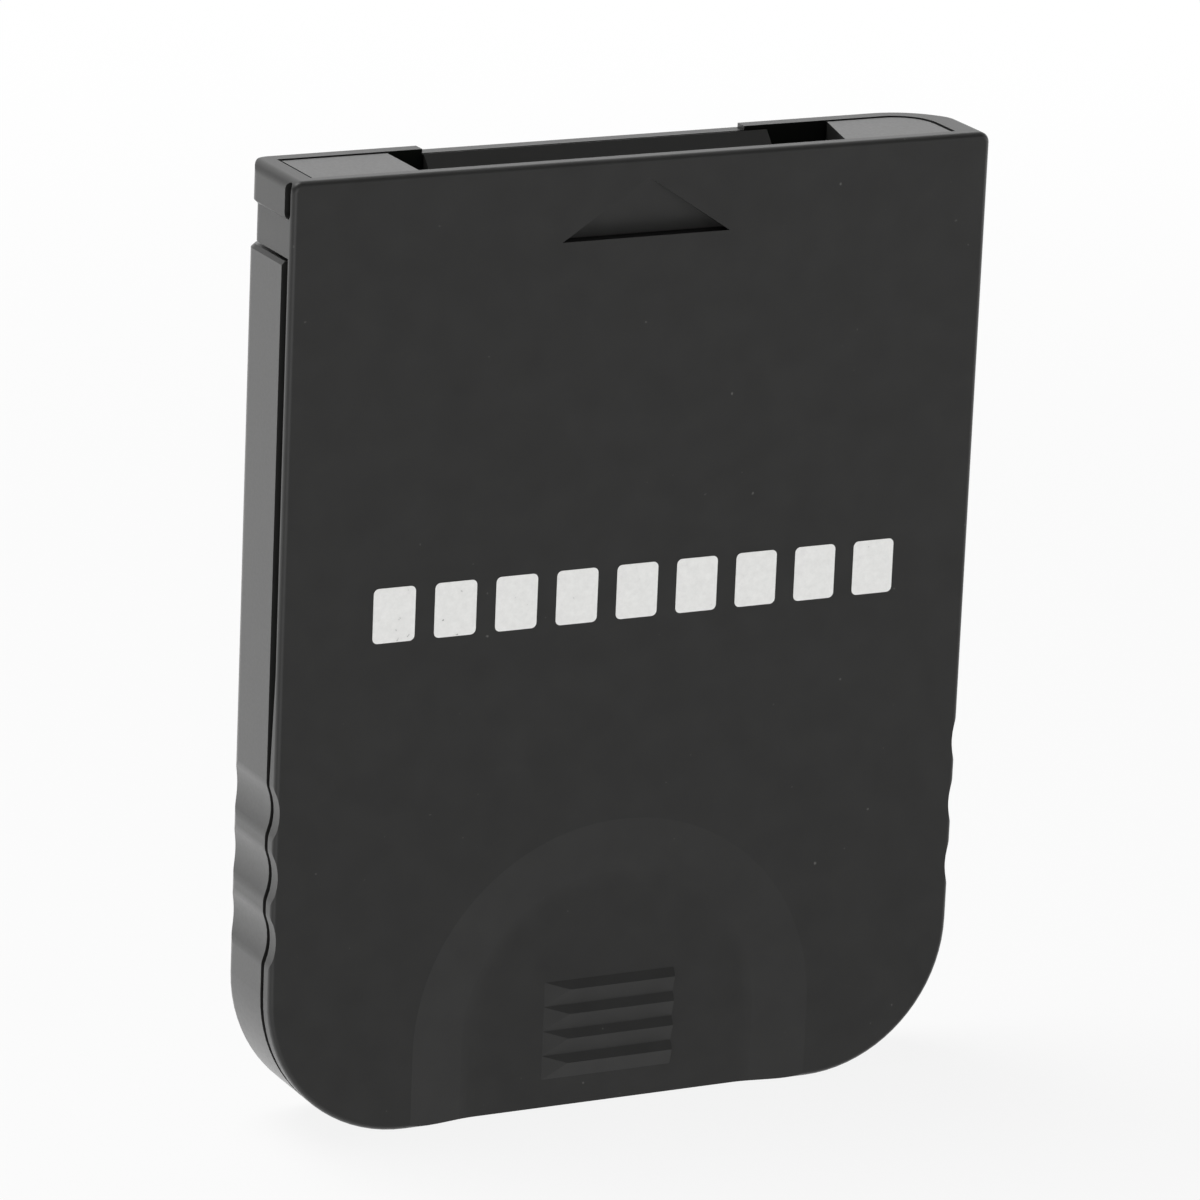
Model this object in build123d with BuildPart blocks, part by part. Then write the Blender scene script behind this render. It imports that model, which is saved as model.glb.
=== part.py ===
from build123d import *
import os

# Console memory card: two moulded shells, a circuit board with its chips and one case screw.
# X runs across the card, Y through it from front to rear, and Z from the grip end up to the
# connector end. The origin is the middle of the grip end, on which the card stands.
# Sizes are in millimetres. A depth is measured from the front face towards the rear.

# Overall size of the closed card
card_width = 42.0
card_height = 54.3
card_thickness = 6.0
grip_corner_radius = 8.5
connector_corner_radius = 0.6
front_edge_radius = 0.3
rear_edge_radius = 0.9

# Walls of the shells, and the shadow groove between them, which widens towards the collar
front_wall = 0.8
rear_wall = 0.9
groove_width = 0.4
groove_depth = 0.8
groove_flare_height = 21.0
groove_flare_run = 6.0
edge_strip = 0.4
lip_wall = 0.7
lip_reach = 1.0
lip_top_gap = 0.3
fit_gap = 0.1

# Grip dents in both sides
dent_count = 3
dent_pitch = 3.67
dent_first_height = 11.85
dent_length = 2.8
dent_depth = 0.3
dent_edge_radius = 1.1

# Thumb scoop at the grip end, with its ribs
scoop_radius = 12.25
scoop_centre_height = 4.5
scoop_depth = 0.6
scoop_wall_run = 3.7
scoop_blend_radius = 6.0
scoop_seam_gap = 0.3
rib_count = 4
rib_pitch = 1.45
rib_first_height = 1.65
rib_length = 8.0
rib_face = 0.9
rib_ramp = 0.5
rib_rise = 0.24
rib_end_run = 1.5

# Sunk arrow that points to the connector end
arrow_width = 10.1
arrow_height = 3.3
arrow_depth = 0.75
arrow_wall = 0.35
arrow_tip_margin = 1.1
arrow_overcut = 0.2

# Collar round the connector end: a cap above a recessed latch neck, keyed by its right corner
collar_height = 4.35
cap_height = 2.28
neck_recess = 0.21
collar_left_wall = 1.35
collar_right_wall = 1.8
collar_rear_wall = 0.8
collar_left_radius = 1.2
collar_right_radius = 4.2
bay_corner_radius = 2.2
shoulder_gap = 0.2
shoulder_chamfer = 0.2
side_slot_depth = 0.7
side_slot_width = 0.75
side_slot_length = 2.0
side_slot_front = 0.28
side_slot_top_margin = 0.15
rim_dip = 0.23
rim_dip_margin = 1.3

# Tongue of the rear shell, which stands inside the collar
tongue_gap = 0.18
tongue_overlap = 2.0
left_block_width = 6.2
right_block_width = 6.6
right_block_taper = 1.0
left_pocket_width = 2.15
right_pocket_width = 2.75
block_drop = 0.05
block_wall = 1.0
guide_front_depth = 4.2
guide_ramp = 0.8

# Circuit board
board_thickness = 1.0
board_stand = 0.65
board_side_gap = 0.4
board_scoop_gap = 0.7
board_corner = 0.8
plug_drop = 1.2
plug_side_gap = 0.6
finger_count = 12
finger_pitch = 1.7
finger_width = 1.1
finger_length = 5.0
finger_thickness = 0.05
finger_edge_gap = 0.3

# Pads that clamp the board between the shells, two of them with a locating pin
post_margin = 2.6
post_width = 3.0
pin_diameter = 1.4
pin_reach = 0.6
pin_gap = 0.1
pin_tip_gap = 0.3

# Flash chip, in a thin flat package with leads along two sides
flash_length = 18.4
flash_width = 12.0
flash_height = 1.0
flash_top_gap = 4.5
flash_lead_count = 20
flash_lead_pitch = 0.5
flash_lead_width = 0.22
dot_diameter = 0.8
dot_depth = 0.08
dot_margin = 1.3

# Controller chip
controller_length = 8.6
controller_width = 4.4
controller_height = 1.1
controller_x = -5.5
controller_gap = 2.2
controller_lead_count = 8
controller_lead_pitch = 0.8
controller_lead_width = 0.32

# What the two packages share
package_stand = 0.1
package_chamfer = 0.12
lead_thickness = 0.13
lead_reach = 0.8
lead_foot = 0.4
lead_shoulder = 0.2
lead_exit_height = 0.55

# Small chip parts
capacitor_count = 4
capacitor_length = 2.0
capacitor_width = 1.25
capacitor_height = 0.85
resistor_count = 3
resistor_length = 1.6
resistor_width = 0.8
resistor_height = 0.45
chip_part_spacing = 2.4

# Case screw
screw_height = 6.5
screw_diameter = 1.7
screw_head_diameter = 3.2
screw_head_height = 0.9
screw_head_chamfer = 0.25
screw_head_sink = 0.4
screw_tip_length = 0.5
screw_boss_wall = 1.4
screw_seat = 0.8
screw_hole_gap = 0.15
screw_pilot_gap = 0.03
screw_tip_gap = 0.15
boss_gap = 0.1
recess_span = 1.7
recess_width = 0.4
recess_depth = 0.5

# Places that follow from the sizes above
half_width = card_width / 2
front_y = -card_thickness / 2
rear_y = card_thickness / 2
side_wall = groove_depth + lip_wall
seam_depth = front_wall + groove_width
rear_inner_depth = card_thickness - rear_wall
collar_foot = card_height - collar_height
cap_foot = card_height - cap_height
shoulder_height = collar_foot - shoulder_gap
tongue_root = shoulder_height - tongue_overlap
bay_left = collar_left_wall - half_width
bay_right = half_width - collar_right_wall
bay_depth = card_thickness - collar_rear_wall
tongue_left = bay_left + tongue_gap
tongue_right = bay_right - tongue_gap
tongue_front_depth = front_wall + tongue_gap
tongue_rear_depth = bay_depth - tongue_gap
block_top = card_height - block_drop
left_block_end = tongue_left + left_block_width
right_block_end = tongue_right - right_block_width
guide_left = left_block_end + left_pocket_width
guide_right = right_block_end - right_pocket_width
guide_centre = (guide_left + guide_right) / 2
guide_top = card_height - rim_dip
board_front_depth = front_wall + board_stand
board_rear_depth = board_front_depth + board_thickness
board_half_width = half_width - side_wall - board_side_gap
board_bottom = scoop_centre_height + scoop_radius + board_scoop_gap
board_top = tongue_root - board_side_gap
plug_top = card_height - plug_drop
plug_left = left_block_end + plug_side_gap
plug_right = right_block_end - plug_side_gap
post_x = board_half_width - post_margin
post_low = board_bottom + post_margin
post_high = board_top - post_margin
post_places = [(-post_x, post_low), (post_x, post_low), (-post_x, post_high), (post_x, post_high)]
pin_places = post_places[1:3]
scoop_floor_rear = front_wall + scoop_depth
screw_seat_depth = card_thickness - screw_head_sink - screw_head_height
screw_boss_end = screw_seat_depth - screw_seat
screw_boss_radius = screw_head_diameter / 2 + screw_hole_gap + screw_boss_wall
pilot_depth = scoop_floor_rear + screw_tip_gap
screw_tip_depth = pilot_depth + screw_tip_gap

os.makedirs("parts", exist_ok=True)


def at_depth(depth):
    """Plane that faces the front, with X to the right and Z up."""
    return Plane.XZ.offset(-front_y - depth)


def card_face(depth, inset=0.0, top=card_height):
    """Front outline of the card, drawn in by inset and cut off level at top."""
    with BuildSketch(at_depth(depth)) as face:
        with Locations((0, (top + inset) / 2)):
            Rectangle(card_width - 2 * inset, top - inset)
        fillet(face.vertices().group_by(Axis.Y)[0], grip_corner_radius - inset)
    return face.sketch


def dent_form():
    """What the grip dents take out of both sides, right through the card."""
    dent_radius = (dent_length**2 / 4 + dent_depth**2) / (2 * dent_depth)
    dent_x = half_width - dent_depth + dent_radius
    heights = [dent_first_height + dent_pitch * i for i in range(dent_count)]
    span = (dent_count + 1) * dent_pitch
    with BuildSketch(at_depth(0)) as body:
        with Locations((0, sum(heights) / dent_count)):
            Rectangle(card_width, span)
        with Locations(*[(side * dent_x, z) for side in (-1, 1) for z in heights]):
            Circle(dent_radius, mode=Mode.SUBTRACT)
        corners = body.vertices().group_by(Axis.Y)
        dent_ends = [vertex for level in corners[1:-1] for vertex in level]
        fillet(dent_ends, dent_edge_radius)
    with BuildSketch(at_depth(0)) as dents:
        with Locations((0, sum(heights) / dent_count)):
            Rectangle(card_width, span)
        add(body.sketch_local, mode=Mode.SUBTRACT)
    with BuildPart() as form:
        extrude(dents.sketch, amount=-card_thickness)
    return form.part


def plan_box(height, left, right, near_depth, far_depth, key_radius=0.0):
    """Rectangle seen from above. A key radius rounds its right rear corner."""
    with BuildSketch(Plane.XY.offset(height)) as box:
        with Locations(((left + right) / 2, front_y + (near_depth + far_depth) / 2)):
            Rectangle(right - left, far_depth - near_depth)
        if key_radius:
            fillet(box.vertices().group_by(Axis.Y)[-1].sort_by(Axis.X)[-1], key_radius)
    return box.sketch


def collar_plan(height, inset=0.0):
    """Section of the collar seen from above, drawn in from its sides and rear."""
    with BuildSketch(Plane.XY.offset(height)) as plan:
        with Locations((0, (front_y + edge_strip + rear_y - inset) / 2)):
            Rectangle(card_width - 2 * inset, card_thickness - edge_strip - inset)
        for corner, radius in ((0, collar_left_radius), (-1, collar_right_radius)):
            rear_corners = plan.vertices().group_by(Axis.Y)[-1].sort_by(Axis.X)
            fillet(rear_corners[corner], radius - inset)
    return plan.sketch


def scoop_form(depth, foot, margin=0.0, blended=False):
    """Thumb scoop as a solid: a half dish with two straight legs down to the foot."""
    rim = scoop_radius + margin
    section_plane = Plane((0, front_y + depth, scoop_centre_height))
    with BuildSketch(section_plane) as section:
        Polygon((0, 0), (rim, 0), (rim - scoop_wall_run, scoop_depth), (0, scoop_depth), align=None)
        if blended:
            floor_edge = section.vertices().group_by(Axis.Y)[-1].sort_by(Axis.X)[-1]
            fillet(floor_edge, scoop_blend_radius)
    with BuildPart() as form:
        revolve(section.sketch, axis=Axis(section_plane.origin, (0, -1, 0)), revolution_arc=90)
        extrude(section.sketch, amount=foot - scoop_centre_height)
        mirror(about=Plane.YZ)
    return form.part


def lead_row(edge_plane, count, pitch, width):
    """Profiles of a row of leads. The plane's x leaves the chip and its y leaves the board."""
    starts = [(i - (count - 1) / 2) * pitch - width / 2 for i in range(count)]
    knee = lead_reach - lead_foot
    with BuildSketch(*[edge_plane.offset(start) for start in starts]) as profiles:
        with BuildLine():
            Polyline(
                (0, lead_exit_height),
                (lead_shoulder, lead_exit_height),
                (knee, 0),
                (lead_reach, 0),
                (lead_reach, lead_thickness),
                (knee + lead_thickness, lead_thickness),
                (lead_shoulder + lead_thickness, lead_exit_height + lead_thickness),
                (0, lead_exit_height + lead_thickness),
                close=True,
            )
        make_face()
    return profiles.sketch


# Collar: the cap with its corners rounded, the latch neck below it, and the bay through both
with BuildPart() as collar:
    with BuildSketch(at_depth(edge_strip)) as cap:
        with Locations((0, card_height - cap_height / 2)):
            Rectangle(card_width, cap_height)
        fillet(cap.vertices().group_by(Axis.Y)[-1], connector_corner_radius)
    extrude(amount=edge_strip - card_thickness)
    extrude(collar_plan(cap_foot), amount=cap_height, mode=Mode.INTERSECT)
    cap_base = collar.faces().sort_by(Axis.Z)[0]
    chamfer(cap_base.edges().sort_by(Axis.Y)[1:], neck_recess)
    extrude(collar_plan(collar_foot, neck_recess), amount=collar_height - cap_height)
    bay = plan_box(collar_foot, bay_left, bay_right, front_wall, bay_depth, bay_corner_radius)
    extrude(bay, amount=collar_height, mode=Mode.SUBTRACT)
    dip = plan_box(guide_top, guide_left, guide_right - rim_dip_margin, bay_depth, card_thickness)
    extrude(dip, amount=rim_dip, mode=Mode.SUBTRACT)

# Arrow: a wedge cut, flush with the face at its tip and deepest at its base
with BuildPart() as arrow:
    arrow_tip = card_height - arrow_tip_margin
    arrow_half = arrow_width / 2
    arrow_foot = arrow_tip - arrow_height
    arrow_base = plan_box(arrow_foot, -arrow_half, arrow_half, -arrow_overcut, arrow_depth)
    loft([arrow_base.face(), Vertex(0, front_y, arrow_tip)])

# Ribs: a saw-tooth row across the scoop, steep on its upper sides, which dies away at its left end
with BuildPart() as ribs:
    scoop_floor_y = front_y + scoop_depth
    rib_root_y = scoop_floor_y + front_wall / 2
    rib_feet = [rib_first_height + rib_pitch * i for i in range(rib_count)]
    with BuildSketch(Plane.YZ) as rib_profiles:
        with Locations(*[(scoop_floor_y, foot) for foot in rib_feet]):
            Polygon(
                (front_wall / 2, 0),
                (0, 0),
                (-rib_rise, rib_face),
                (0, rib_face + rib_ramp),
                (front_wall / 2, rib_face + rib_ramp),
                align=None,
            )
    extrude(amount=rib_length / 2, both=True)
    with BuildSketch(Plane.XY) as rib_plan:
        Polygon(
            (rib_length / 2, rib_root_y),
            (-rib_length / 2, rib_root_y),
            (-rib_length / 2, scoop_floor_y),
            (rib_end_run - rib_length / 2, scoop_floor_y - rib_rise),
            (rib_length / 2, scoop_floor_y - rib_rise),
            align=None,
        )
    extrude(amount=rib_feet[-1] + rib_face + rib_ramp, mode=Mode.INTERSECT)

# Front shell: plate and lip, the flared groove, the collar, the arrow, the scoop and the pads
with BuildPart() as front_shell:
    with BuildSketch(at_depth(0)) as plate:
        add(card_face(0))
        fillet(plate.vertices().group_by(Axis.Y)[-1], connector_corner_radius)
    extrude(amount=-front_wall)
    fillet(front_shell.faces().sort_by(Axis.Y)[0].edges(), front_edge_radius)
    lip_top = tongue_root - lip_top_gap
    with BuildSketch(at_depth(front_wall)) as lip:
        add(card_face(front_wall, groove_depth, lip_top))
        add(card_face(front_wall, side_wall, lip_top), mode=Mode.SUBTRACT)
        for side, wall in ((-1, collar_left_wall), (1, collar_right_wall)):
            lip_end_x = side * (half_width - (groove_depth + wall) / 2)
            with Locations((lip_end_x, (lip_top + collar_foot) / 2)):
                Rectangle(wall - groove_depth, collar_foot - lip_top)
    extrude(amount=-groove_width - lip_reach)
    strip_y = front_y + edge_strip
    plate_y = front_y + front_wall
    for side in (-1, 1):
        with BuildSketch(Plane.YZ.offset(side * half_width)) as flare:
            with BuildLine():
                Polyline(
                    (plate_y, groove_flare_height),
                    (strip_y, groove_flare_height + groove_flare_run),
                    (strip_y, card_height),
                    (plate_y, card_height),
                    close=True,
                )
            make_face()
        extrude(amount=-side * groove_depth, mode=Mode.SUBTRACT)
    add(collar.part)
    for side in (-1, 1):
        slot_middle = card_height - side_slot_top_margin - side_slot_length / 2
        with BuildSketch(Plane.YZ.offset(side * half_width)) as side_slot:
            with Locations((front_y + side_slot_front + side_slot_width / 2, slot_middle)):
                SlotOverall(side_slot_length, side_slot_width, rotation=90)
        extrude(amount=-side * side_slot_depth, mode=Mode.SUBTRACT)
    with BuildSketch(at_depth(front_wall)) as arrow_back:
        with Locations((0, arrow_tip - arrow_height / 2)):
            Rectangle(arrow_width, arrow_height)
    extrude(amount=front_wall - arrow_depth - arrow_wall)
    add(arrow.part, mode=Mode.SUBTRACT)
    add(dent_form(), mode=Mode.SUBTRACT)
    add(scoop_form(front_wall, 0))
    with BuildSketch(at_depth(front_wall)) as screw_boss:
        with Locations((0, screw_height)):
            Circle(screw_diameter / 2 + screw_boss_wall)
    extrude(amount=front_wall + boss_gap - screw_boss_end)
    add(scoop_form(0, -scoop_depth, blended=True), mode=Mode.SUBTRACT)
    with BuildSketch(at_depth(pilot_depth)) as pilot:
        with Locations((0, screw_height)):
            Circle(screw_diameter / 2 + screw_pilot_gap)
    extrude(amount=pilot_depth - screw_boss_end, mode=Mode.SUBTRACT)
    add(ribs.part)
    with BuildSketch(at_depth(front_wall)) as pads:
        with Locations(*post_places):
            Rectangle(post_width, post_width)
    extrude(amount=-board_stand)
    with BuildSketch(at_depth(board_front_depth)) as pins:
        with Locations(*pin_places):
            Circle(pin_diameter / 2)
    extrude(amount=-board_thickness - pin_reach)
front_shell.part.label = "front_shell"
export_step(front_shell.part, "parts/front_shell.step")

# Rear shell: outer form with eased edges, hollowed, then the tongue, the posts and the screw seat
with BuildPart() as rear_shell:
    extrude(card_face(seam_depth, top=shoulder_height), amount=seam_depth - card_thickness)
    rear_edges = rear_shell.faces().sort_by(Axis.Y)[-1].edges()
    fillet(rear_edges.sort_by(Axis.Z)[:-1], rear_edge_radius)
    shoulder = rear_shell.faces().sort_by(Axis.Z)[-1]
    chamfer(shoulder.edges().sort_by(Axis.Y)[1:], shoulder_chamfer)
    add(dent_form(), mode=Mode.SUBTRACT)
    hollow = card_face(seam_depth, side_wall, shoulder_height)
    extrude(hollow, amount=seam_depth - rear_inner_depth, mode=Mode.SUBTRACT)
    rebate = card_face(seam_depth, groove_depth - fit_gap, shoulder_height)
    extrude(rebate, amount=-lip_reach - fit_gap, mode=Mode.SUBTRACT)
    key_radius = bay_corner_radius - tongue_gap
    for left, right, taper, corner in (
        (tongue_left, left_block_end, 0, 0),
        (right_block_end, tongue_right, right_block_taper, key_radius),
    ):
        block = plan_box(tongue_root, left, right, tongue_front_depth, tongue_rear_depth, corner)
        extrude(block, amount=block_top - tongue_root)
        core = plan_box(
            tongue_root,
            left + taper + block_wall,
            right - block_wall,
            tongue_front_depth + block_wall,
            tongue_rear_depth - block_wall,
        )
        extrude(core, amount=block_top - block_wall - tongue_root, mode=Mode.SUBTRACT)
    with BuildSketch(Plane.XY.offset(tongue_root)) as slant:
        Polygon(
            (right_block_end, front_y + tongue_front_depth),
            (right_block_end + right_block_taper, front_y + tongue_rear_depth),
            (right_block_end, front_y + tongue_rear_depth),
            align=None,
        )
    extrude(amount=block_top - tongue_root, mode=Mode.SUBTRACT)
    web_depth = card_thickness - rear_wall / 2
    web = plan_box(tongue_root, tongue_left, tongue_right, guide_front_depth, web_depth)
    extrude(web, amount=tongue_overlap - shoulder_chamfer)
    guide = plan_box(tongue_root, guide_left, guide_right, guide_front_depth, tongue_rear_depth)
    extrude(guide, amount=guide_top - tongue_root)
    guide_edges = rear_shell.edges().filter_by(Axis.X)
    guide_lip = guide_edges.filter_by_position(Axis.Z, guide_top, guide_top).sort_by(Axis.Y)[0]
    chamfer(guide_lip, guide_ramp)
    with BuildSketch(at_depth(board_rear_depth)) as posts:
        with Locations(*post_places):
            Rectangle(post_width, post_width)
    extrude(amount=board_rear_depth - card_thickness + rear_wall / 2)
    with BuildSketch(at_depth(board_rear_depth)) as sockets:
        with Locations(*pin_places):
            Circle(pin_diameter / 2 + pin_gap)
    extrude(amount=-pin_reach - pin_tip_gap, mode=Mode.SUBTRACT)
    with BuildSketch(at_depth(screw_boss_end)) as screw_seat_boss:
        with Locations((0, screw_height)):
            Circle(screw_boss_radius)
    extrude(amount=screw_boss_end - card_thickness + rear_wall / 2)
    with Locations(Plane((0, rear_y, screw_height), z_dir=(0, 1, 0))):
        CounterBoreHole(
            screw_diameter / 2 + screw_hole_gap,
            screw_head_diameter / 2 + screw_hole_gap,
            card_thickness - screw_seat_depth,
            depth=card_thickness - screw_boss_end,
        )
    add(scoop_form(front_wall + scoop_seam_gap, -scoop_depth, scoop_seam_gap), mode=Mode.SUBTRACT)
rear_shell.part.label = "rear_shell"
export_step(rear_shell.part, "parts/rear_shell.step")

# Circuit board: a wide body below the tongue and a plug that stands between the two end blocks
with BuildPart() as circuit_board:
    with BuildSketch(at_depth(board_front_depth)) as board:
        with Locations((0, (board_bottom + board_top) / 2)):
            Rectangle(2 * board_half_width, board_top - board_bottom)
        with Locations(((plug_left + plug_right) / 2, (board_top + plug_top) / 2)):
            Rectangle(plug_right - plug_left, plug_top - board_top)
        chamfer(board.vertices(), board_corner)
        with Locations(*pin_places):
            Circle(pin_diameter / 2 + pin_gap, mode=Mode.SUBTRACT)
    extrude(amount=-board_thickness)
circuit_board.part.label = "circuit_board"
export_step(circuit_board.part, "parts/circuit_board.step")

# Contact fingers: flat pads on the rear face of the plug
with BuildPart() as contact_fingers:
    with BuildSketch(at_depth(board_rear_depth)) as fingers:
        with Locations((guide_centre, plug_top - finger_edge_gap - finger_length / 2)):
            with GridLocations(finger_pitch, 0, finger_count, 1):
                Rectangle(finger_width, finger_length)
    extrude(amount=-finger_thickness)
contact_fingers.part.label = "contact_fingers"
export_step(contact_fingers.part, "parts/contact_fingers.step")

# Flash chip, with a row of leads at its left and right sides
flash_centre = board_top - flash_top_gap - flash_width / 2
package_depth = board_rear_depth + package_stand
with BuildPart() as flash_chip:
    with BuildSketch(at_depth(package_depth)) as flash_body:
        with Locations((0, flash_centre)):
            Rectangle(flash_length, flash_width)
    extrude(amount=-flash_height)
    chamfer(flash_chip.edges(), package_chamfer)
    with BuildSketch(at_depth(package_depth + flash_height)) as flash_dot:
        with Locations((flash_length / 2 - dot_margin, flash_centre + flash_width / 2 - dot_margin)):
            Circle(dot_diameter / 2)
    extrude(amount=dot_depth, mode=Mode.SUBTRACT)
flash_chip.part.label = "flash_chip"
export_step(flash_chip.part, "parts/flash_chip.step")

with BuildPart() as flash_chip_leads:
    for side in (-1, 1):
        flash_side = Plane(
            (side * flash_length / 2, front_y + board_rear_depth, flash_centre),
            x_dir=(side, 0, 0),
            z_dir=(0, 0, side),
        )
        leads = lead_row(flash_side, flash_lead_count, flash_lead_pitch, flash_lead_width)
        extrude(leads, amount=flash_lead_width)
flash_chip_leads.part.label = "flash_chip_leads"
export_step(flash_chip_leads.part, "parts/flash_chip_leads.step")

# Controller chip, with a row of leads at its top and bottom sides
controller_top = flash_centre - flash_width / 2 - controller_gap
controller_centre = controller_top - controller_width / 2
with BuildPart() as controller_chip:
    with BuildSketch(at_depth(package_depth)) as controller_body:
        with Locations((controller_x, controller_centre)):
            Rectangle(controller_length, controller_width)
    extrude(amount=-controller_height)
    chamfer(controller_chip.edges(), package_chamfer)
controller_chip.part.label = "controller_chip"
export_step(controller_chip.part, "parts/controller_chip.step")

with BuildPart() as controller_chip_leads:
    for side in (-1, 1):
        controller_side = Plane(
            (controller_x, front_y + board_rear_depth, controller_centre + side * controller_width / 2),
            x_dir=(0, 0, side),
            z_dir=(-side, 0, 0),
        )
        leads = lead_row(
            controller_side, controller_lead_count, controller_lead_pitch, controller_lead_width
        )
        extrude(leads, amount=controller_lead_width)
controller_chip_leads.part.label = "controller_chip_leads"
export_step(controller_chip_leads.part, "parts/controller_chip_leads.step")


def chip_part(name, place, length, width, height):
    """Small block that is soldered flat on the rear face of the board."""
    with BuildPart() as block:
        with BuildSketch(at_depth(board_rear_depth)):
            with Locations(place):
                Rectangle(length, width)
        extrude(amount=-height)
    block.part.label = name
    export_step(block.part, f"parts/{name}.step")


# Chip capacitors and resistors, in columns beside the controller
first_column = controller_x + controller_length / 2 + chip_part_spacing
second_column = first_column + capacitor_length + chip_part_spacing
for i in range(capacitor_count):
    row_z = controller_centre + chip_part_spacing * (i // 2)
    place = ((first_column, second_column)[i % 2], row_z)
    chip_part(f"capacitor_{i + 1}", place, capacitor_length, capacitor_width, capacitor_height)
for i in range(resistor_count):
    place = (first_column + chip_part_spacing * i, controller_centre - chip_part_spacing)
    chip_part(f"resistor_{i + 1}", place, resistor_length, resistor_width, resistor_height)

# Case screw: a pan head with a cross recess, turned about the screw's axis
with BuildPart() as case_screw:
    screw_plane = Plane((0, front_y, screw_height))
    with BuildSketch(screw_plane) as screw_section:
        with BuildLine():
            Polyline(
                (0, screw_tip_depth),
                (screw_diameter / 2, screw_tip_depth + screw_tip_length),
                (screw_diameter / 2, screw_seat_depth),
                (screw_head_diameter / 2, screw_seat_depth),
                (screw_head_diameter / 2, screw_seat_depth + screw_head_height),
                (0, screw_seat_depth + screw_head_height),
                close=True,
            )
        make_face()
    revolve(axis=Axis(screw_plane.origin, (0, 1, 0)))
    head_rim = case_screw.faces().sort_by(Axis.Y)[-1].edges()
    chamfer(head_rim, screw_head_chamfer)
    with BuildSketch(at_depth(screw_seat_depth + screw_head_height)) as cross:
        with Locations((0, screw_height)):
            Rectangle(recess_span, recess_width)
            Rectangle(recess_width, recess_span)
    extrude(amount=recess_depth, mode=Mode.SUBTRACT)
case_screw.part.label = "case_screw"
export_step(case_screw.part, "parts/case_screw.step")
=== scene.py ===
# %% [markdown]
# A console memory card in Blender
#
# The card is two black plastic shells round a small circuit board. Its solids come from the CAD
# model, at their real size, so this lesson only dresses them: it gives each piece the finish that
# the real one has, prints a row of plain blocks on the front, and sets up a small photo studio.

# %% Load the card
import math

import bpy
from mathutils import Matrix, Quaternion, Vector


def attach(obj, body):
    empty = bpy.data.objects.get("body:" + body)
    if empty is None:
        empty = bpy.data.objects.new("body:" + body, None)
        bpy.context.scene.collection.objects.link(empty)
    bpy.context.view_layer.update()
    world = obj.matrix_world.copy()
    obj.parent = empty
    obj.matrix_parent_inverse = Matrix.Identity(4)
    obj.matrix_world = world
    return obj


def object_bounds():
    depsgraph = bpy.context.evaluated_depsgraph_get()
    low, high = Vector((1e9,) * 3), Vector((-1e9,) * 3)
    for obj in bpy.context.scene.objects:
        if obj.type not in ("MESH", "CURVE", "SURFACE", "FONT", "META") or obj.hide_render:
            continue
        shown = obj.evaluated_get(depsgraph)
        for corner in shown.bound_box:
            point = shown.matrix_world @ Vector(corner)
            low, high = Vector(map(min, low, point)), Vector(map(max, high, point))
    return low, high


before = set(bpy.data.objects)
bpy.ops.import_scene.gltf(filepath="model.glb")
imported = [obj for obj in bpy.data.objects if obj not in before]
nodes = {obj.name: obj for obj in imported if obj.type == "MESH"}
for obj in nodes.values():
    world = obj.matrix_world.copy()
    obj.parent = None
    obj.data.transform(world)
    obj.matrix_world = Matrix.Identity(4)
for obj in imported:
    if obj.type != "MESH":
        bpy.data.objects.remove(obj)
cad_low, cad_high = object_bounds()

MM = 0.001
card_centre = (cad_low + cad_high) / 2
size_mm = [round(extent / MM, 2) for extent in cad_high - cad_low]
print("pieces:", len(nodes), "size in mm:", size_mm)

# %% [markdown]
# Helpers
#
# Colours are written as the hex values that a colour picker shows. Blender's shaders work in
# linear light, so one function turns hex into linear numbers. Node trees are built with one other
# function: it adds a node, sets its options, and fills or links its sockets.

# %% Helpers for colours and nodes
def linear(hex_colour):
    """Linear RGBA of an sRGB colour such as #2a2a2b."""
    channels = [int(hex_colour[i:i + 2], 16) / 255 for i in (1, 3, 5)]
    return [c / 12.92 if c <= 0.04045 else ((c + 0.055) / 1.055) ** 2.4 for c in channels] + [1.0]


def in_use(sockets, name):
    """The socket with this name or number that shows. A Mix node hides others of the same name."""
    if isinstance(name, int):
        return sockets[name]
    return next(socket for socket in sockets if socket.enabled and socket.name == name)


def add_node(tree, kind, output, inputs=None, **options):
    """Adds a node and returns one of its outputs. An input is a value, or an output to link to."""
    node = tree.nodes.new(kind)
    for name, value in options.items():
        setattr(node, name, value)
    for name, value in (inputs or {}).items():
        socket = in_use(node.inputs, name)
        if isinstance(value, bpy.types.NodeSocket):
            tree.links.new(value, socket)
        else:
            socket.default_value = value
    return in_use(node.outputs, output)


def new_material(name):
    """A material with nodes, and its tree and shader."""
    material = bpy.data.materials.new(name)
    material.use_nodes = True
    return material, material.node_tree, material.node_tree.nodes["Principled BSDF"]


def dress(names, material):
    """Gives CAD nodes one material."""
    for name in names:
        nodes[name].data.materials.clear()
        nodes[name].data.materials.append(material)
    print(material.name, "->", ", ".join(names))


def noise_scale(grain_mm):
    """Scale of a noise, in waves per metre, for a grain of this size."""
    return 1 / (grain_mm * MM)


# %% [markdown]
# Black moulded plastic
#
# Both shells are black ABS, moulded in steel tools. The tool of the front shell was spark-eroded,
# which leaves a fine matt grain on the plastic. The tool of the rear shell was rubbed down with
# stone, so its walls are smoother and mirror a little of the room at a low angle. One function
# makes both: a near-black colour that drifts over a couple of millimetres, a roughness that varies
# with the grain, and a bump from the same grain. Real grain is about a twentieth of a millimetre.
# It is drawn two to four times as coarse, so that it just shows in a picture of the whole card. A
# used card also holds a little pale dust in its grain: a coarser noise, cut off near its top,
# leaves only a few specks of it.

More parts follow.
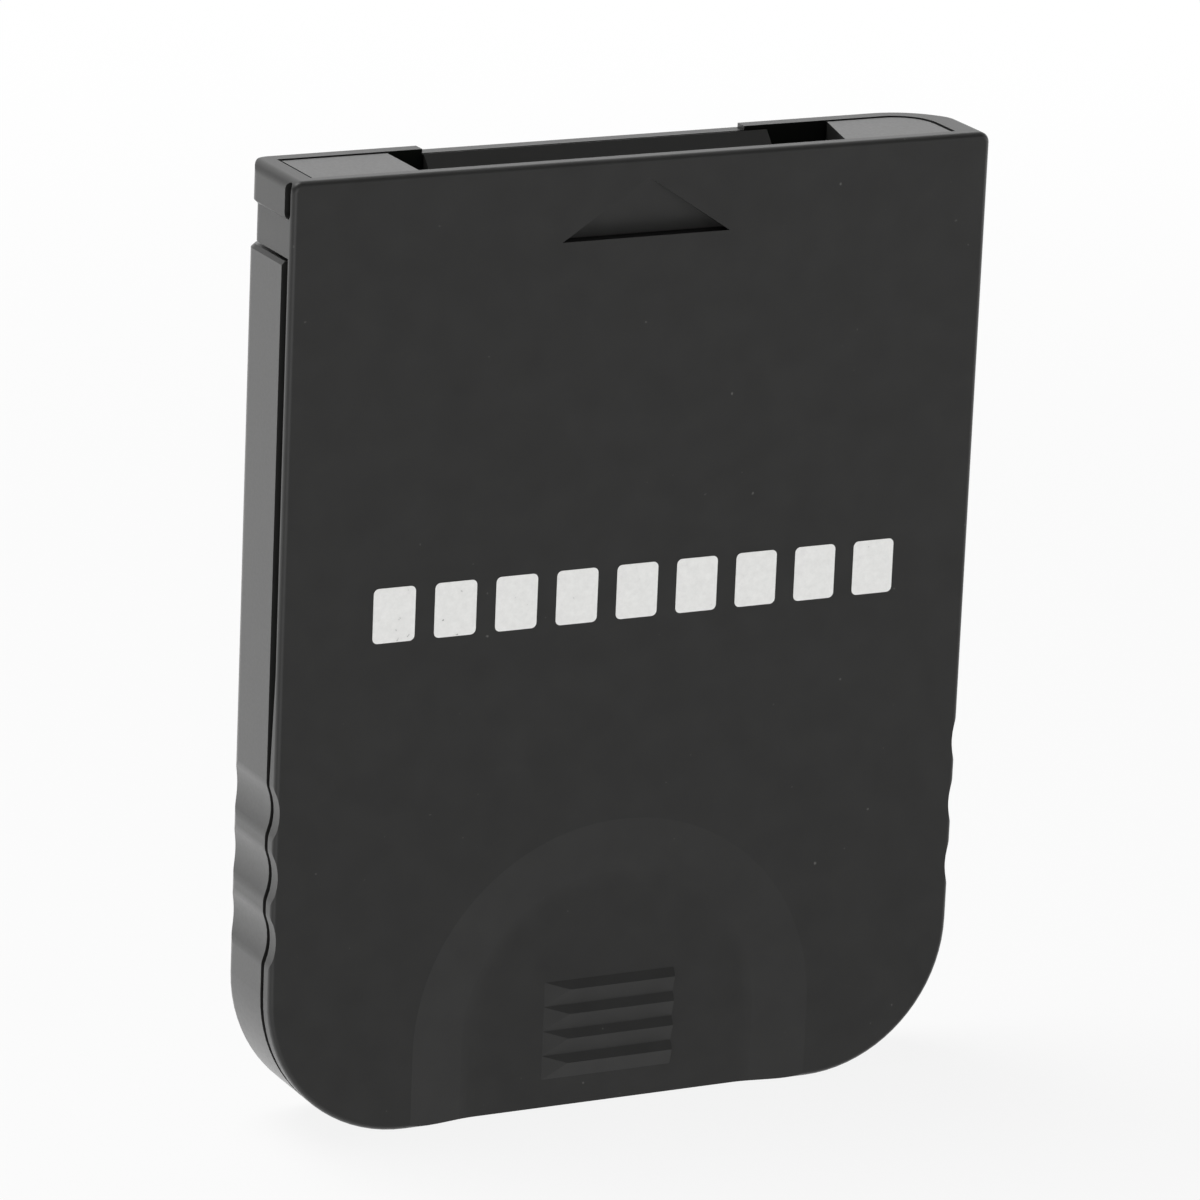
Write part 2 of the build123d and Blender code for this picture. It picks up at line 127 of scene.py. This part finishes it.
# %% Shell plastics
abs_ior = 1.53
drift_mm = 1.8
gloss_spread = 0.06
dust_colour = "#6e6d6a"
dust_mm = 0.45
dust_edge = 0.06
dust_cover = 0.6


def moulded_abs(name, colour, worn_colour, roughness, grain_mm, grain_height_mm, dust_level):
    """Black ABS with a moulded grain, whose colour drifts between two shades."""
    material, tree, shader = new_material(name)
    place = add_node(tree, "ShaderNodeTexCoord", "Object")
    grain = add_node(tree, "ShaderNodeTexNoise", "Fac", {
        "Vector": place, "Scale": noise_scale(grain_mm), "Detail": 3.0, "Roughness": 0.6})
    drift = add_node(tree, "ShaderNodeTexNoise", "Fac", {
        "Vector": place, "Scale": noise_scale(drift_mm), "Detail": 4.0})
    tint = add_node(tree, "ShaderNodeMix", "Result", {
        "Factor": drift, "A": linear(colour), "B": linear(worn_colour)}, data_type="RGBA")
    speck = add_node(tree, "ShaderNodeTexNoise", "Fac", {
        "Vector": place, "Scale": noise_scale(dust_mm), "Detail": 1.0})
    dust = add_node(tree, "ShaderNodeMapRange", "Result", {
        "Value": speck, "From Min": dust_level, "From Max": dust_level + dust_edge,
        "To Max": dust_cover})
    dusty = add_node(tree, "ShaderNodeMix", "Result", {
        "Factor": dust, "A": tint, "B": linear(dust_colour)}, data_type="RGBA")
    gloss = add_node(tree, "ShaderNodeMapRange", "Result", {
        "Value": grain, "To Min": roughness - gloss_spread, "To Max": roughness + gloss_spread})
    bump = add_node(tree, "ShaderNodeBump", "Normal", {
        "Height": grain, "Distance": grain_height_mm * MM, "Strength": 1.0})
    tree.links.new(dusty, shader.inputs["Base Color"])
    tree.links.new(gloss, shader.inputs["Roughness"])
    tree.links.new(bump, shader.inputs["Normal"])
    shader.inputs["IOR"].default_value = abs_ior
    return material


front_plastic = moulded_abs(
    "Spark-eroded black ABS", "#1e1e1d", "#2a2a29", roughness=0.48,
    grain_mm=0.1, grain_height_mm=0.004, dust_level=0.8)
rear_plastic = moulded_abs(
    "Stoned black ABS", "#232322", "#2c2c2b", roughness=0.42,
    grain_mm=0.2, grain_height_mm=0.002, dust_level=0.82)
dress(["front_shell"], front_plastic)
dress(["rear_shell"], rear_plastic)

# %% [markdown]
# Board, chips and metal
#
# Little of the inside shows, but each piece still gets its own finish: green solder mask over
# woven glass, black moulding compound, gold on the contact pads, tin on the leads, zinc on the
# screw, and fired ceramic or a glazed film on the small chip parts. Metals keep the default IOR.
# Their colour does the work, and a fine noise in the colour and the roughness stands for the
# slightly uneven surface.

# %% Inner finishes
inner_gloss_spread = 0.08


def inner_finish(name, colour, shade, roughness, grain_mm, metallic=0.0):
    """A finish whose colour and roughness vary with one fine grain."""
    material, tree, shader = new_material(name)
    place = add_node(tree, "ShaderNodeTexCoord", "Object")
    grain = add_node(tree, "ShaderNodeTexNoise", "Fac", {
        "Vector": place, "Scale": noise_scale(grain_mm), "Detail": 4.0})
    tint = add_node(tree, "ShaderNodeMix", "Result", {
        "Factor": grain, "A": linear(colour), "B": linear(shade)}, data_type="RGBA")
    gloss = add_node(tree, "ShaderNodeMapRange", "Result", {
        "Value": grain, "To Min": roughness - inner_gloss_spread,
        "To Max": roughness + inner_gloss_spread})
    tree.links.new(tint, shader.inputs["Base Color"])
    tree.links.new(gloss, shader.inputs["Roughness"])
    shader.inputs["Metallic"].default_value = metallic
    return material


solder_mask = inner_finish("Green solder mask", "#1d4a2c", "#245736", roughness=0.35, grain_mm=0.6)
gold = inner_finish("Gold plate", "#e8c06a", "#dcb05a", roughness=0.3, grain_mm=0.3, metallic=1.0)
compound = inner_finish("Moulding compound", "#262628", "#2e2e30", roughness=0.6, grain_mm=0.15)
tin = inner_finish("Tin plate", "#d2d2ce", "#c2c2be", roughness=0.35, grain_mm=0.2, metallic=1.0)
ceramic = inner_finish("Fired ceramic", "#ad9070", "#a08262", roughness=0.5, grain_mm=0.3)
glaze = inner_finish("Glazed film", "#1f1f22", "#29292c", roughness=0.3, grain_mm=0.3)
zinc = inner_finish("Zinc plate", "#c4c6c8", "#b4b6b8", roughness=0.38, grain_mm=0.25, metallic=1.0)

# %% Dress the inner pieces
dress(["circuit_board"], solder_mask)
dress(["contact_fingers"], gold)
dress(["flash_chip", "controller_chip"], compound)
dress(["flash_chip_leads", "controller_chip_leads"], tin)
dress([name for name in nodes if name.startswith("capacitor")], ceramic)
dress([name for name in nodes if name.startswith("resistor")], glaze)
dress(["case_screw"], zinc)

# %% [markdown]
# White ink
#
# The print is one pass of white ink, pushed through a fine screen. It dries as a matt film with a
# slightly uneven cover, so the colour drifts between two off-whites, and a few pinholes let the
# black plastic through.

# %% Printing ink
ink_roughness = 0.6
cover_mm = 0.35
pinhole_start = 0.3
pinhole_full = 0.26
pinhole_depth = 0.7
screen_ink, tree, shader = new_material("Screen-printed white ink")
place = add_node(tree, "ShaderNodeTexCoord", "Object")
cover = add_node(tree, "ShaderNodeTexNoise", "Fac", {
    "Vector": place, "Scale": noise_scale(cover_mm), "Detail": 4.0, "Roughness": 0.7})
film = add_node(tree, "ShaderNodeMix", "Result", {
    "Factor": cover, "A": linear("#e2e2e0"), "B": linear("#fcfcfa")}, data_type="RGBA")
pinhole = add_node(tree, "ShaderNodeMapRange", "Result", {
    "Value": cover, "From Min": pinhole_start, "From Max": pinhole_full, "To Max": pinhole_depth})
inked = add_node(tree, "ShaderNodeMix", "Result", {
    "Factor": pinhole, "A": film, "B": linear("#5a5a5a")}, data_type="RGBA")
tree.links.new(inked, shader.inputs["Base Color"])
shader.inputs["Roughness"].default_value = ink_roughness
print("ink:", screen_ink.name)

# %% [markdown]
# The printed row
#
# Across the middle of the front runs a row of plain upright blocks in white ink. They are all
# alike, so Geometry Nodes makes one block and repeats it: a rectangle with rounded corners is
# filled, raised by the thickness of the ink, closed behind, and set on the points of a line. The
# result is then turned into a plain mesh, so that nothing depends on the modifier.

# %% Inputs of the node group
row_tree = bpy.data.node_groups.new("Printed blocks", "GeometryNodeTree")
row_values = {
    "Count": 9,
    "Pitch": 3.66 * MM,
    "Block Width": 2.5 * MM,
    "Block Height": 3.1 * MM,
    "Corner Radius": 0.3 * MM,
    "Ink Thickness": 0.03 * MM,
}
row_tree.interface.new_socket("Geometry", in_out="OUTPUT", socket_type="NodeSocketGeometry")
for name, value in row_values.items():
    kind = "NodeSocketInt" if isinstance(value, int) else "NodeSocketFloat"
    row_tree.interface.new_socket(name, in_out="INPUT", socket_type=kind)
ink_socket = row_tree.interface.new_socket("Ink", in_out="INPUT", socket_type="NodeSocketMaterial")
given = row_tree.nodes.new("NodeGroupInput").outputs
print("inputs:", ", ".join(row_values))

# %% One block of ink
corner_points = 5
weld_distance = 0.001 * MM
outline = add_node(row_tree, "GeometryNodeCurvePrimitiveQuadrilateral", "Curve", {
    "Width": given["Block Width"], "Height": given["Block Height"]})
eased = add_node(row_tree, "GeometryNodeFilletCurve", "Curve", {
    "Curve": outline, "Count": corner_points, "Radius": given["Corner Radius"]}, mode="POLY")
face = add_node(row_tree, "GeometryNodeFillCurve", "Mesh", {"Curve": eased}, mode="NGONS")
raised = add_node(row_tree, "GeometryNodeExtrudeMesh", "Mesh", {
    "Mesh": face, "Offset Scale": given["Ink Thickness"], "Individual": False}, mode="FACES")
back = add_node(row_tree, "GeometryNodeFlipFaces", "Mesh", {"Mesh": face})
sheet = row_tree.nodes.new("GeometryNodeJoinGeometry")
for mesh in (raised, back):
    row_tree.links.new(mesh, sheet.inputs["Geometry"])
block = add_node(row_tree, "GeometryNodeMergeByDistance", "Geometry", {
    "Geometry": sheet.outputs["Geometry"], "Distance": weld_distance})
print("nodes for one block:", len(row_tree.nodes))

# %% The row of blocks
upright = (math.radians(90), 0, 0)
step = add_node(row_tree, "ShaderNodeCombineXYZ", "Vector", {"X": given["Pitch"]})
line = add_node(row_tree, "GeometryNodeMeshLine", "Mesh", {
    "Count": given["Count"], "Offset": step}, mode="OFFSET")
row = add_node(row_tree, "GeometryNodeInstanceOnPoints", "Instances", {
    "Points": line, "Instance": block, "Rotation": upright})
solid = add_node(row_tree, "GeometryNodeRealizeInstances", "Geometry", {"Geometry": row})
inked_row = add_node(row_tree, "GeometryNodeSetMaterial", "Geometry", {
    "Geometry": solid, "Material": given["Ink"]})
row_tree.links.new(inked_row, row_tree.nodes.new("NodeGroupOutput").inputs["Geometry"])
print("node group:", row_tree.name, "with", len(row_tree.nodes), "nodes")

# %% [markdown]
# The row is made at the origin and then moved, in its vertices, to its place on the front face,
# which is the front of the CAD model's box. The first block's middle is the start of the line. The
# ink sinks a hundredth of a millimetre into the plastic, so that its edge is closed.

# %% Print the row
front_face_y = cad_low.y
ink_sink = 0.01 * MM
row_middle_x = 0.35 * MM
row_middle_z = 29.9 * MM
carrier = bpy.data.objects.new("row_carrier", bpy.data.meshes.new("row_carrier"))
bpy.context.scene.collection.objects.link(carrier)
modifier = carrier.modifiers.new("Printed blocks", "NODES")
modifier.node_group = row_tree
for socket in row_tree.interface.items_tree:
    if socket.name in row_values:
        modifier[socket.identifier] = row_values[socket.name]
modifier[ink_socket.identifier] = screen_ink
ready = carrier.evaluated_get(bpy.context.evaluated_depsgraph_get())
row_mesh = bpy.data.meshes.new_from_object(ready)
bpy.data.objects.remove(carrier)
row_mesh.name = "front_print"
row_start_x = row_middle_x - row_values["Pitch"] * (row_values["Count"] - 1) / 2
for vertex in row_mesh.vertices:
    vertex.co += Vector((row_start_x, front_face_y + ink_sink, row_middle_z))
front_print = bpy.data.objects.new("front_print", row_mesh)
bpy.context.scene.collection.objects.link(front_print)
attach(front_print, "root")
print("printed blocks:", row_values["Count"], "faces:", len(row_mesh.polygons))

# %% [markdown]
# Light table
#
# The card stands on a white light table in a dim room, so about half of its light comes from below.
# Near the card a share of what the camera sees of the table is paint instead of glow, which keeps a
# light soft shadow, and further out it is plain white. The table isn't sampled as a lamp, because
# its brightness depends on the kind of ray. A gloss doesn't see it at all: what the plastic mirrors
# is left to the world.

# %% Helpers for the light
def smooth_step(tree, value, span, low, high):
    """Eases from low to high while the value crosses the span."""
    start, stop = span
    return add_node(tree, "ShaderNodeMapRange", "Result", {
        "Value": value, "From Min": start, "From Max": stop, "To Min": low, "To Max": high},
        interpolation_type="SMOOTHSTEP")


def by_ray(tree, seen, mirrored, lit):
    """Chooses a value by the kind of ray: seen by the camera, mirrored by a gloss, or other."""
    path = tree.nodes.new("ShaderNodeLightPath").outputs
    clear = add_node(tree, "ShaderNodeMath", "Value", {
        0: path["Is Camera Ray"], 1: path["Is Transmission Ray"]}, operation="MAXIMUM")
    unseen = add_node(tree, "ShaderNodeMix", "Result", {
        "Factor": path["Is Glossy Ray"], "A": lit, "B": mirrored})
    return add_node(tree, "ShaderNodeMix", "Result", {"Factor": clear, "A": unseen, "B": seen})


# %% White table
table_radius = 2.0
table_sides = 96
table_roughness = 0.9
table_light = 1.0
paint_share = 0.12
paint_edge = (0.1, 0.3)
bpy.ops.mesh.primitive_circle_add(vertices=table_sides, radius=table_radius, fill_type="NGON")
table = bpy.context.object
table.name = "light_table"
table.visible_glossy = False
table_paint, tree, shader = new_material("White table")
table_paint.cycles.emission_sampling = "NONE"
shader.inputs["Base Color"].default_value = linear("#f0f0f0")
shader.inputs["Roughness"].default_value = table_roughness
place = add_node(tree, "ShaderNodeTexCoord", "Object")
distance = add_node(tree, "ShaderNodeVectorMath", "Value", {0: place}, operation="LENGTH")
near_white = smooth_step(tree, distance, paint_edge, 1 - paint_share, 1.0)
glow = add_node(tree, "ShaderNodeEmission", "Emission", {
    "Color": (1, 1, 1, 1), "Strength": table_light})
mix = add_node(tree, "ShaderNodeMixShader", "Shader", {
    0: by_ray(tree, near_white, 1.0, 1.0), 1: shader.outputs["BSDF"], 2: glow})
tree.links.new(mix, tree.nodes["Material Output"].inputs["Surface"])
table.data.materials.append(table_paint)
print("table radius in m:", table_radius)

# %% [markdown]
# The room round the card
#
# What a black part mirrors matters more than its colour. The world is that room. It is bright
# behind the card and below it, up to a backdrop that is lower on the left, which lights up the side
# and the top edges. In front it is dimmer, with one dark patch low on the right. The flat front
# mirrors that patch from the photograph's side, so it stays black, and the slopes of the scoop,
# which look past it, are a little brighter. The camera sees plain white all round. The world isn't
# sampled as a lamp either, for the same reason as the table.

# %% White backdrop in a dim room
rear_shine = 1.7
front_shine = 0.7
dark_shine = 0.05
room_light = 0.1
dark_patch = Vector((0.43, -0.86, -0.28))
backdrop_tilt = Vector((-0.5, 0.0, 1.0))
patch_edge = (0.8, 0.97)
horizon = (-0.05, 0.1)
rear_edge = (-0.2, 0.15)
backdrop_edge = (0.25, 0.65)
world = bpy.data.worlds.new("White backdrop")
bpy.context.scene.world = world
world.use_nodes = True
world.cycles.sampling_method = "NONE"
tree = world.node_tree
background = tree.nodes["Background"]
heading = add_node(tree, "ShaderNodeTexCoord", "Generated")
axes = tree.nodes.new("ShaderNodeSeparateXYZ")
tree.links.new(heading, axes.inputs["Vector"])
to_patch = add_node(tree, "ShaderNodeVectorMath", "Value", {
    0: heading, 1: dark_patch}, operation="DOT_PRODUCT")
height = add_node(tree, "ShaderNodeVectorMath", "Value", {
    0: heading, 1: backdrop_tilt}, operation="DOT_PRODUCT")
past_patch = smooth_step(tree, to_patch, patch_edge, 1.0, 0.0)
below = smooth_step(tree, axes.outputs["Z"], horizon, 1.0, 0.0)
behind = smooth_step(tree, axes.outputs["Y"], rear_edge, 0.0, 1.0)
low = smooth_step(tree, height, backdrop_edge, 1.0, 0.0)
front_part = add_node(tree, "ShaderNodeMath", "Value", {
    0: past_patch, 1: below}, operation="MULTIPLY")
rear_part = add_node(tree, "ShaderNodeMath", "Value", {0: behind, 1: low}, operation="MULTIPLY")
front = add_node(tree, "ShaderNodeMix", "Result", {
    "Factor": front_part, "A": dark_shine, "B": front_shine})
mirrored = add_node(tree, "ShaderNodeMix", "Result", {
    "Factor": rear_part, "A": front, "B": rear_shine})
tree.links.new(by_ray(tree, 1.0, mirrored, room_light), background.inputs["Strength"])
background.inputs["Color"].default_value = (1, 1, 1, 1)
print("backdrop:", world.name)

# %% [markdown]
# Soft boxes
#
# Three lamps finish the light. A box overhead, a little behind the card, gives it its shadow. Two
# strips at the card's own height, one on the right and one in front, fill the hollows of the arrow
# and the ribs.

# %% Soft boxes
lamp_distance = 0.6
lamp_width = 0.4
strip_height = 0.05


def soft_box(name, heading, height, level):
    """Lamp that faces the card. At level 1, white paper that faces it renders as white."""
    lamp = bpy.data.lights.new(name, "AREA")
    lamp.shape = "RECTANGLE"
    lamp.size = lamp_width
    lamp.size_y = height
    lamp.energy = level * (math.pi * lamp_distance) ** 2
    box = bpy.data.objects.new(name, lamp)
    box.location = card_centre + lamp_distance * Vector(heading).normalized()
    box.rotation_mode = "QUATERNION"
    box.rotation_quaternion = (card_centre - box.location).to_track_quat("-Z", "Y")
    box.visible_camera = False
    bpy.context.scene.collection.objects.link(box)
    print(name, "at", [round(value, 3) for value in box.location])


soft_box("Overhead box", heading=(-0.3, 0.3, 0.9), height=lamp_width, level=0.9)
soft_box("Right strip", heading=(0.88, -0.47, 0.0), height=strip_height, level=0.2)
soft_box("Front strip", heading=(-0.3, -0.95, 0.0), height=strip_height, level=0.24)

# %% [markdown]
# Camera
#
# The camera was fitted to the edges of the card in the photograph: a long lens, to the left of the
# card and a little above it, rolled by a little over two degrees.

# %% Camera
camera_place = Vector((-177.112, -349.808, 145.619)) * MM
camera_aim = Vector((-1.891, -3.0, 29.561)) * MM
camera_roll = math.radians(2.431)
lens_mm = 222.427
sensor_mm = 36.0
camera = bpy.data.objects.new("Camera", bpy.data.cameras.new("Camera"))
camera.data.lens = lens_mm
camera.data.sensor_width = sensor_mm
camera.location = camera_place
camera.rotation_mode = "QUATERNION"
look = (camera_aim - camera_place).to_track_quat("-Z", "Y")
camera.rotation_quaternion = look @ Quaternion((0, 0, 1), camera_roll)
bpy.context.scene.collection.objects.link(camera)
bpy.context.scene.camera = camera
bpy.context.scene.view_settings.view_transform = "Standard"
print("camera distance in m:", round((camera_aim - camera_place).length, 3))
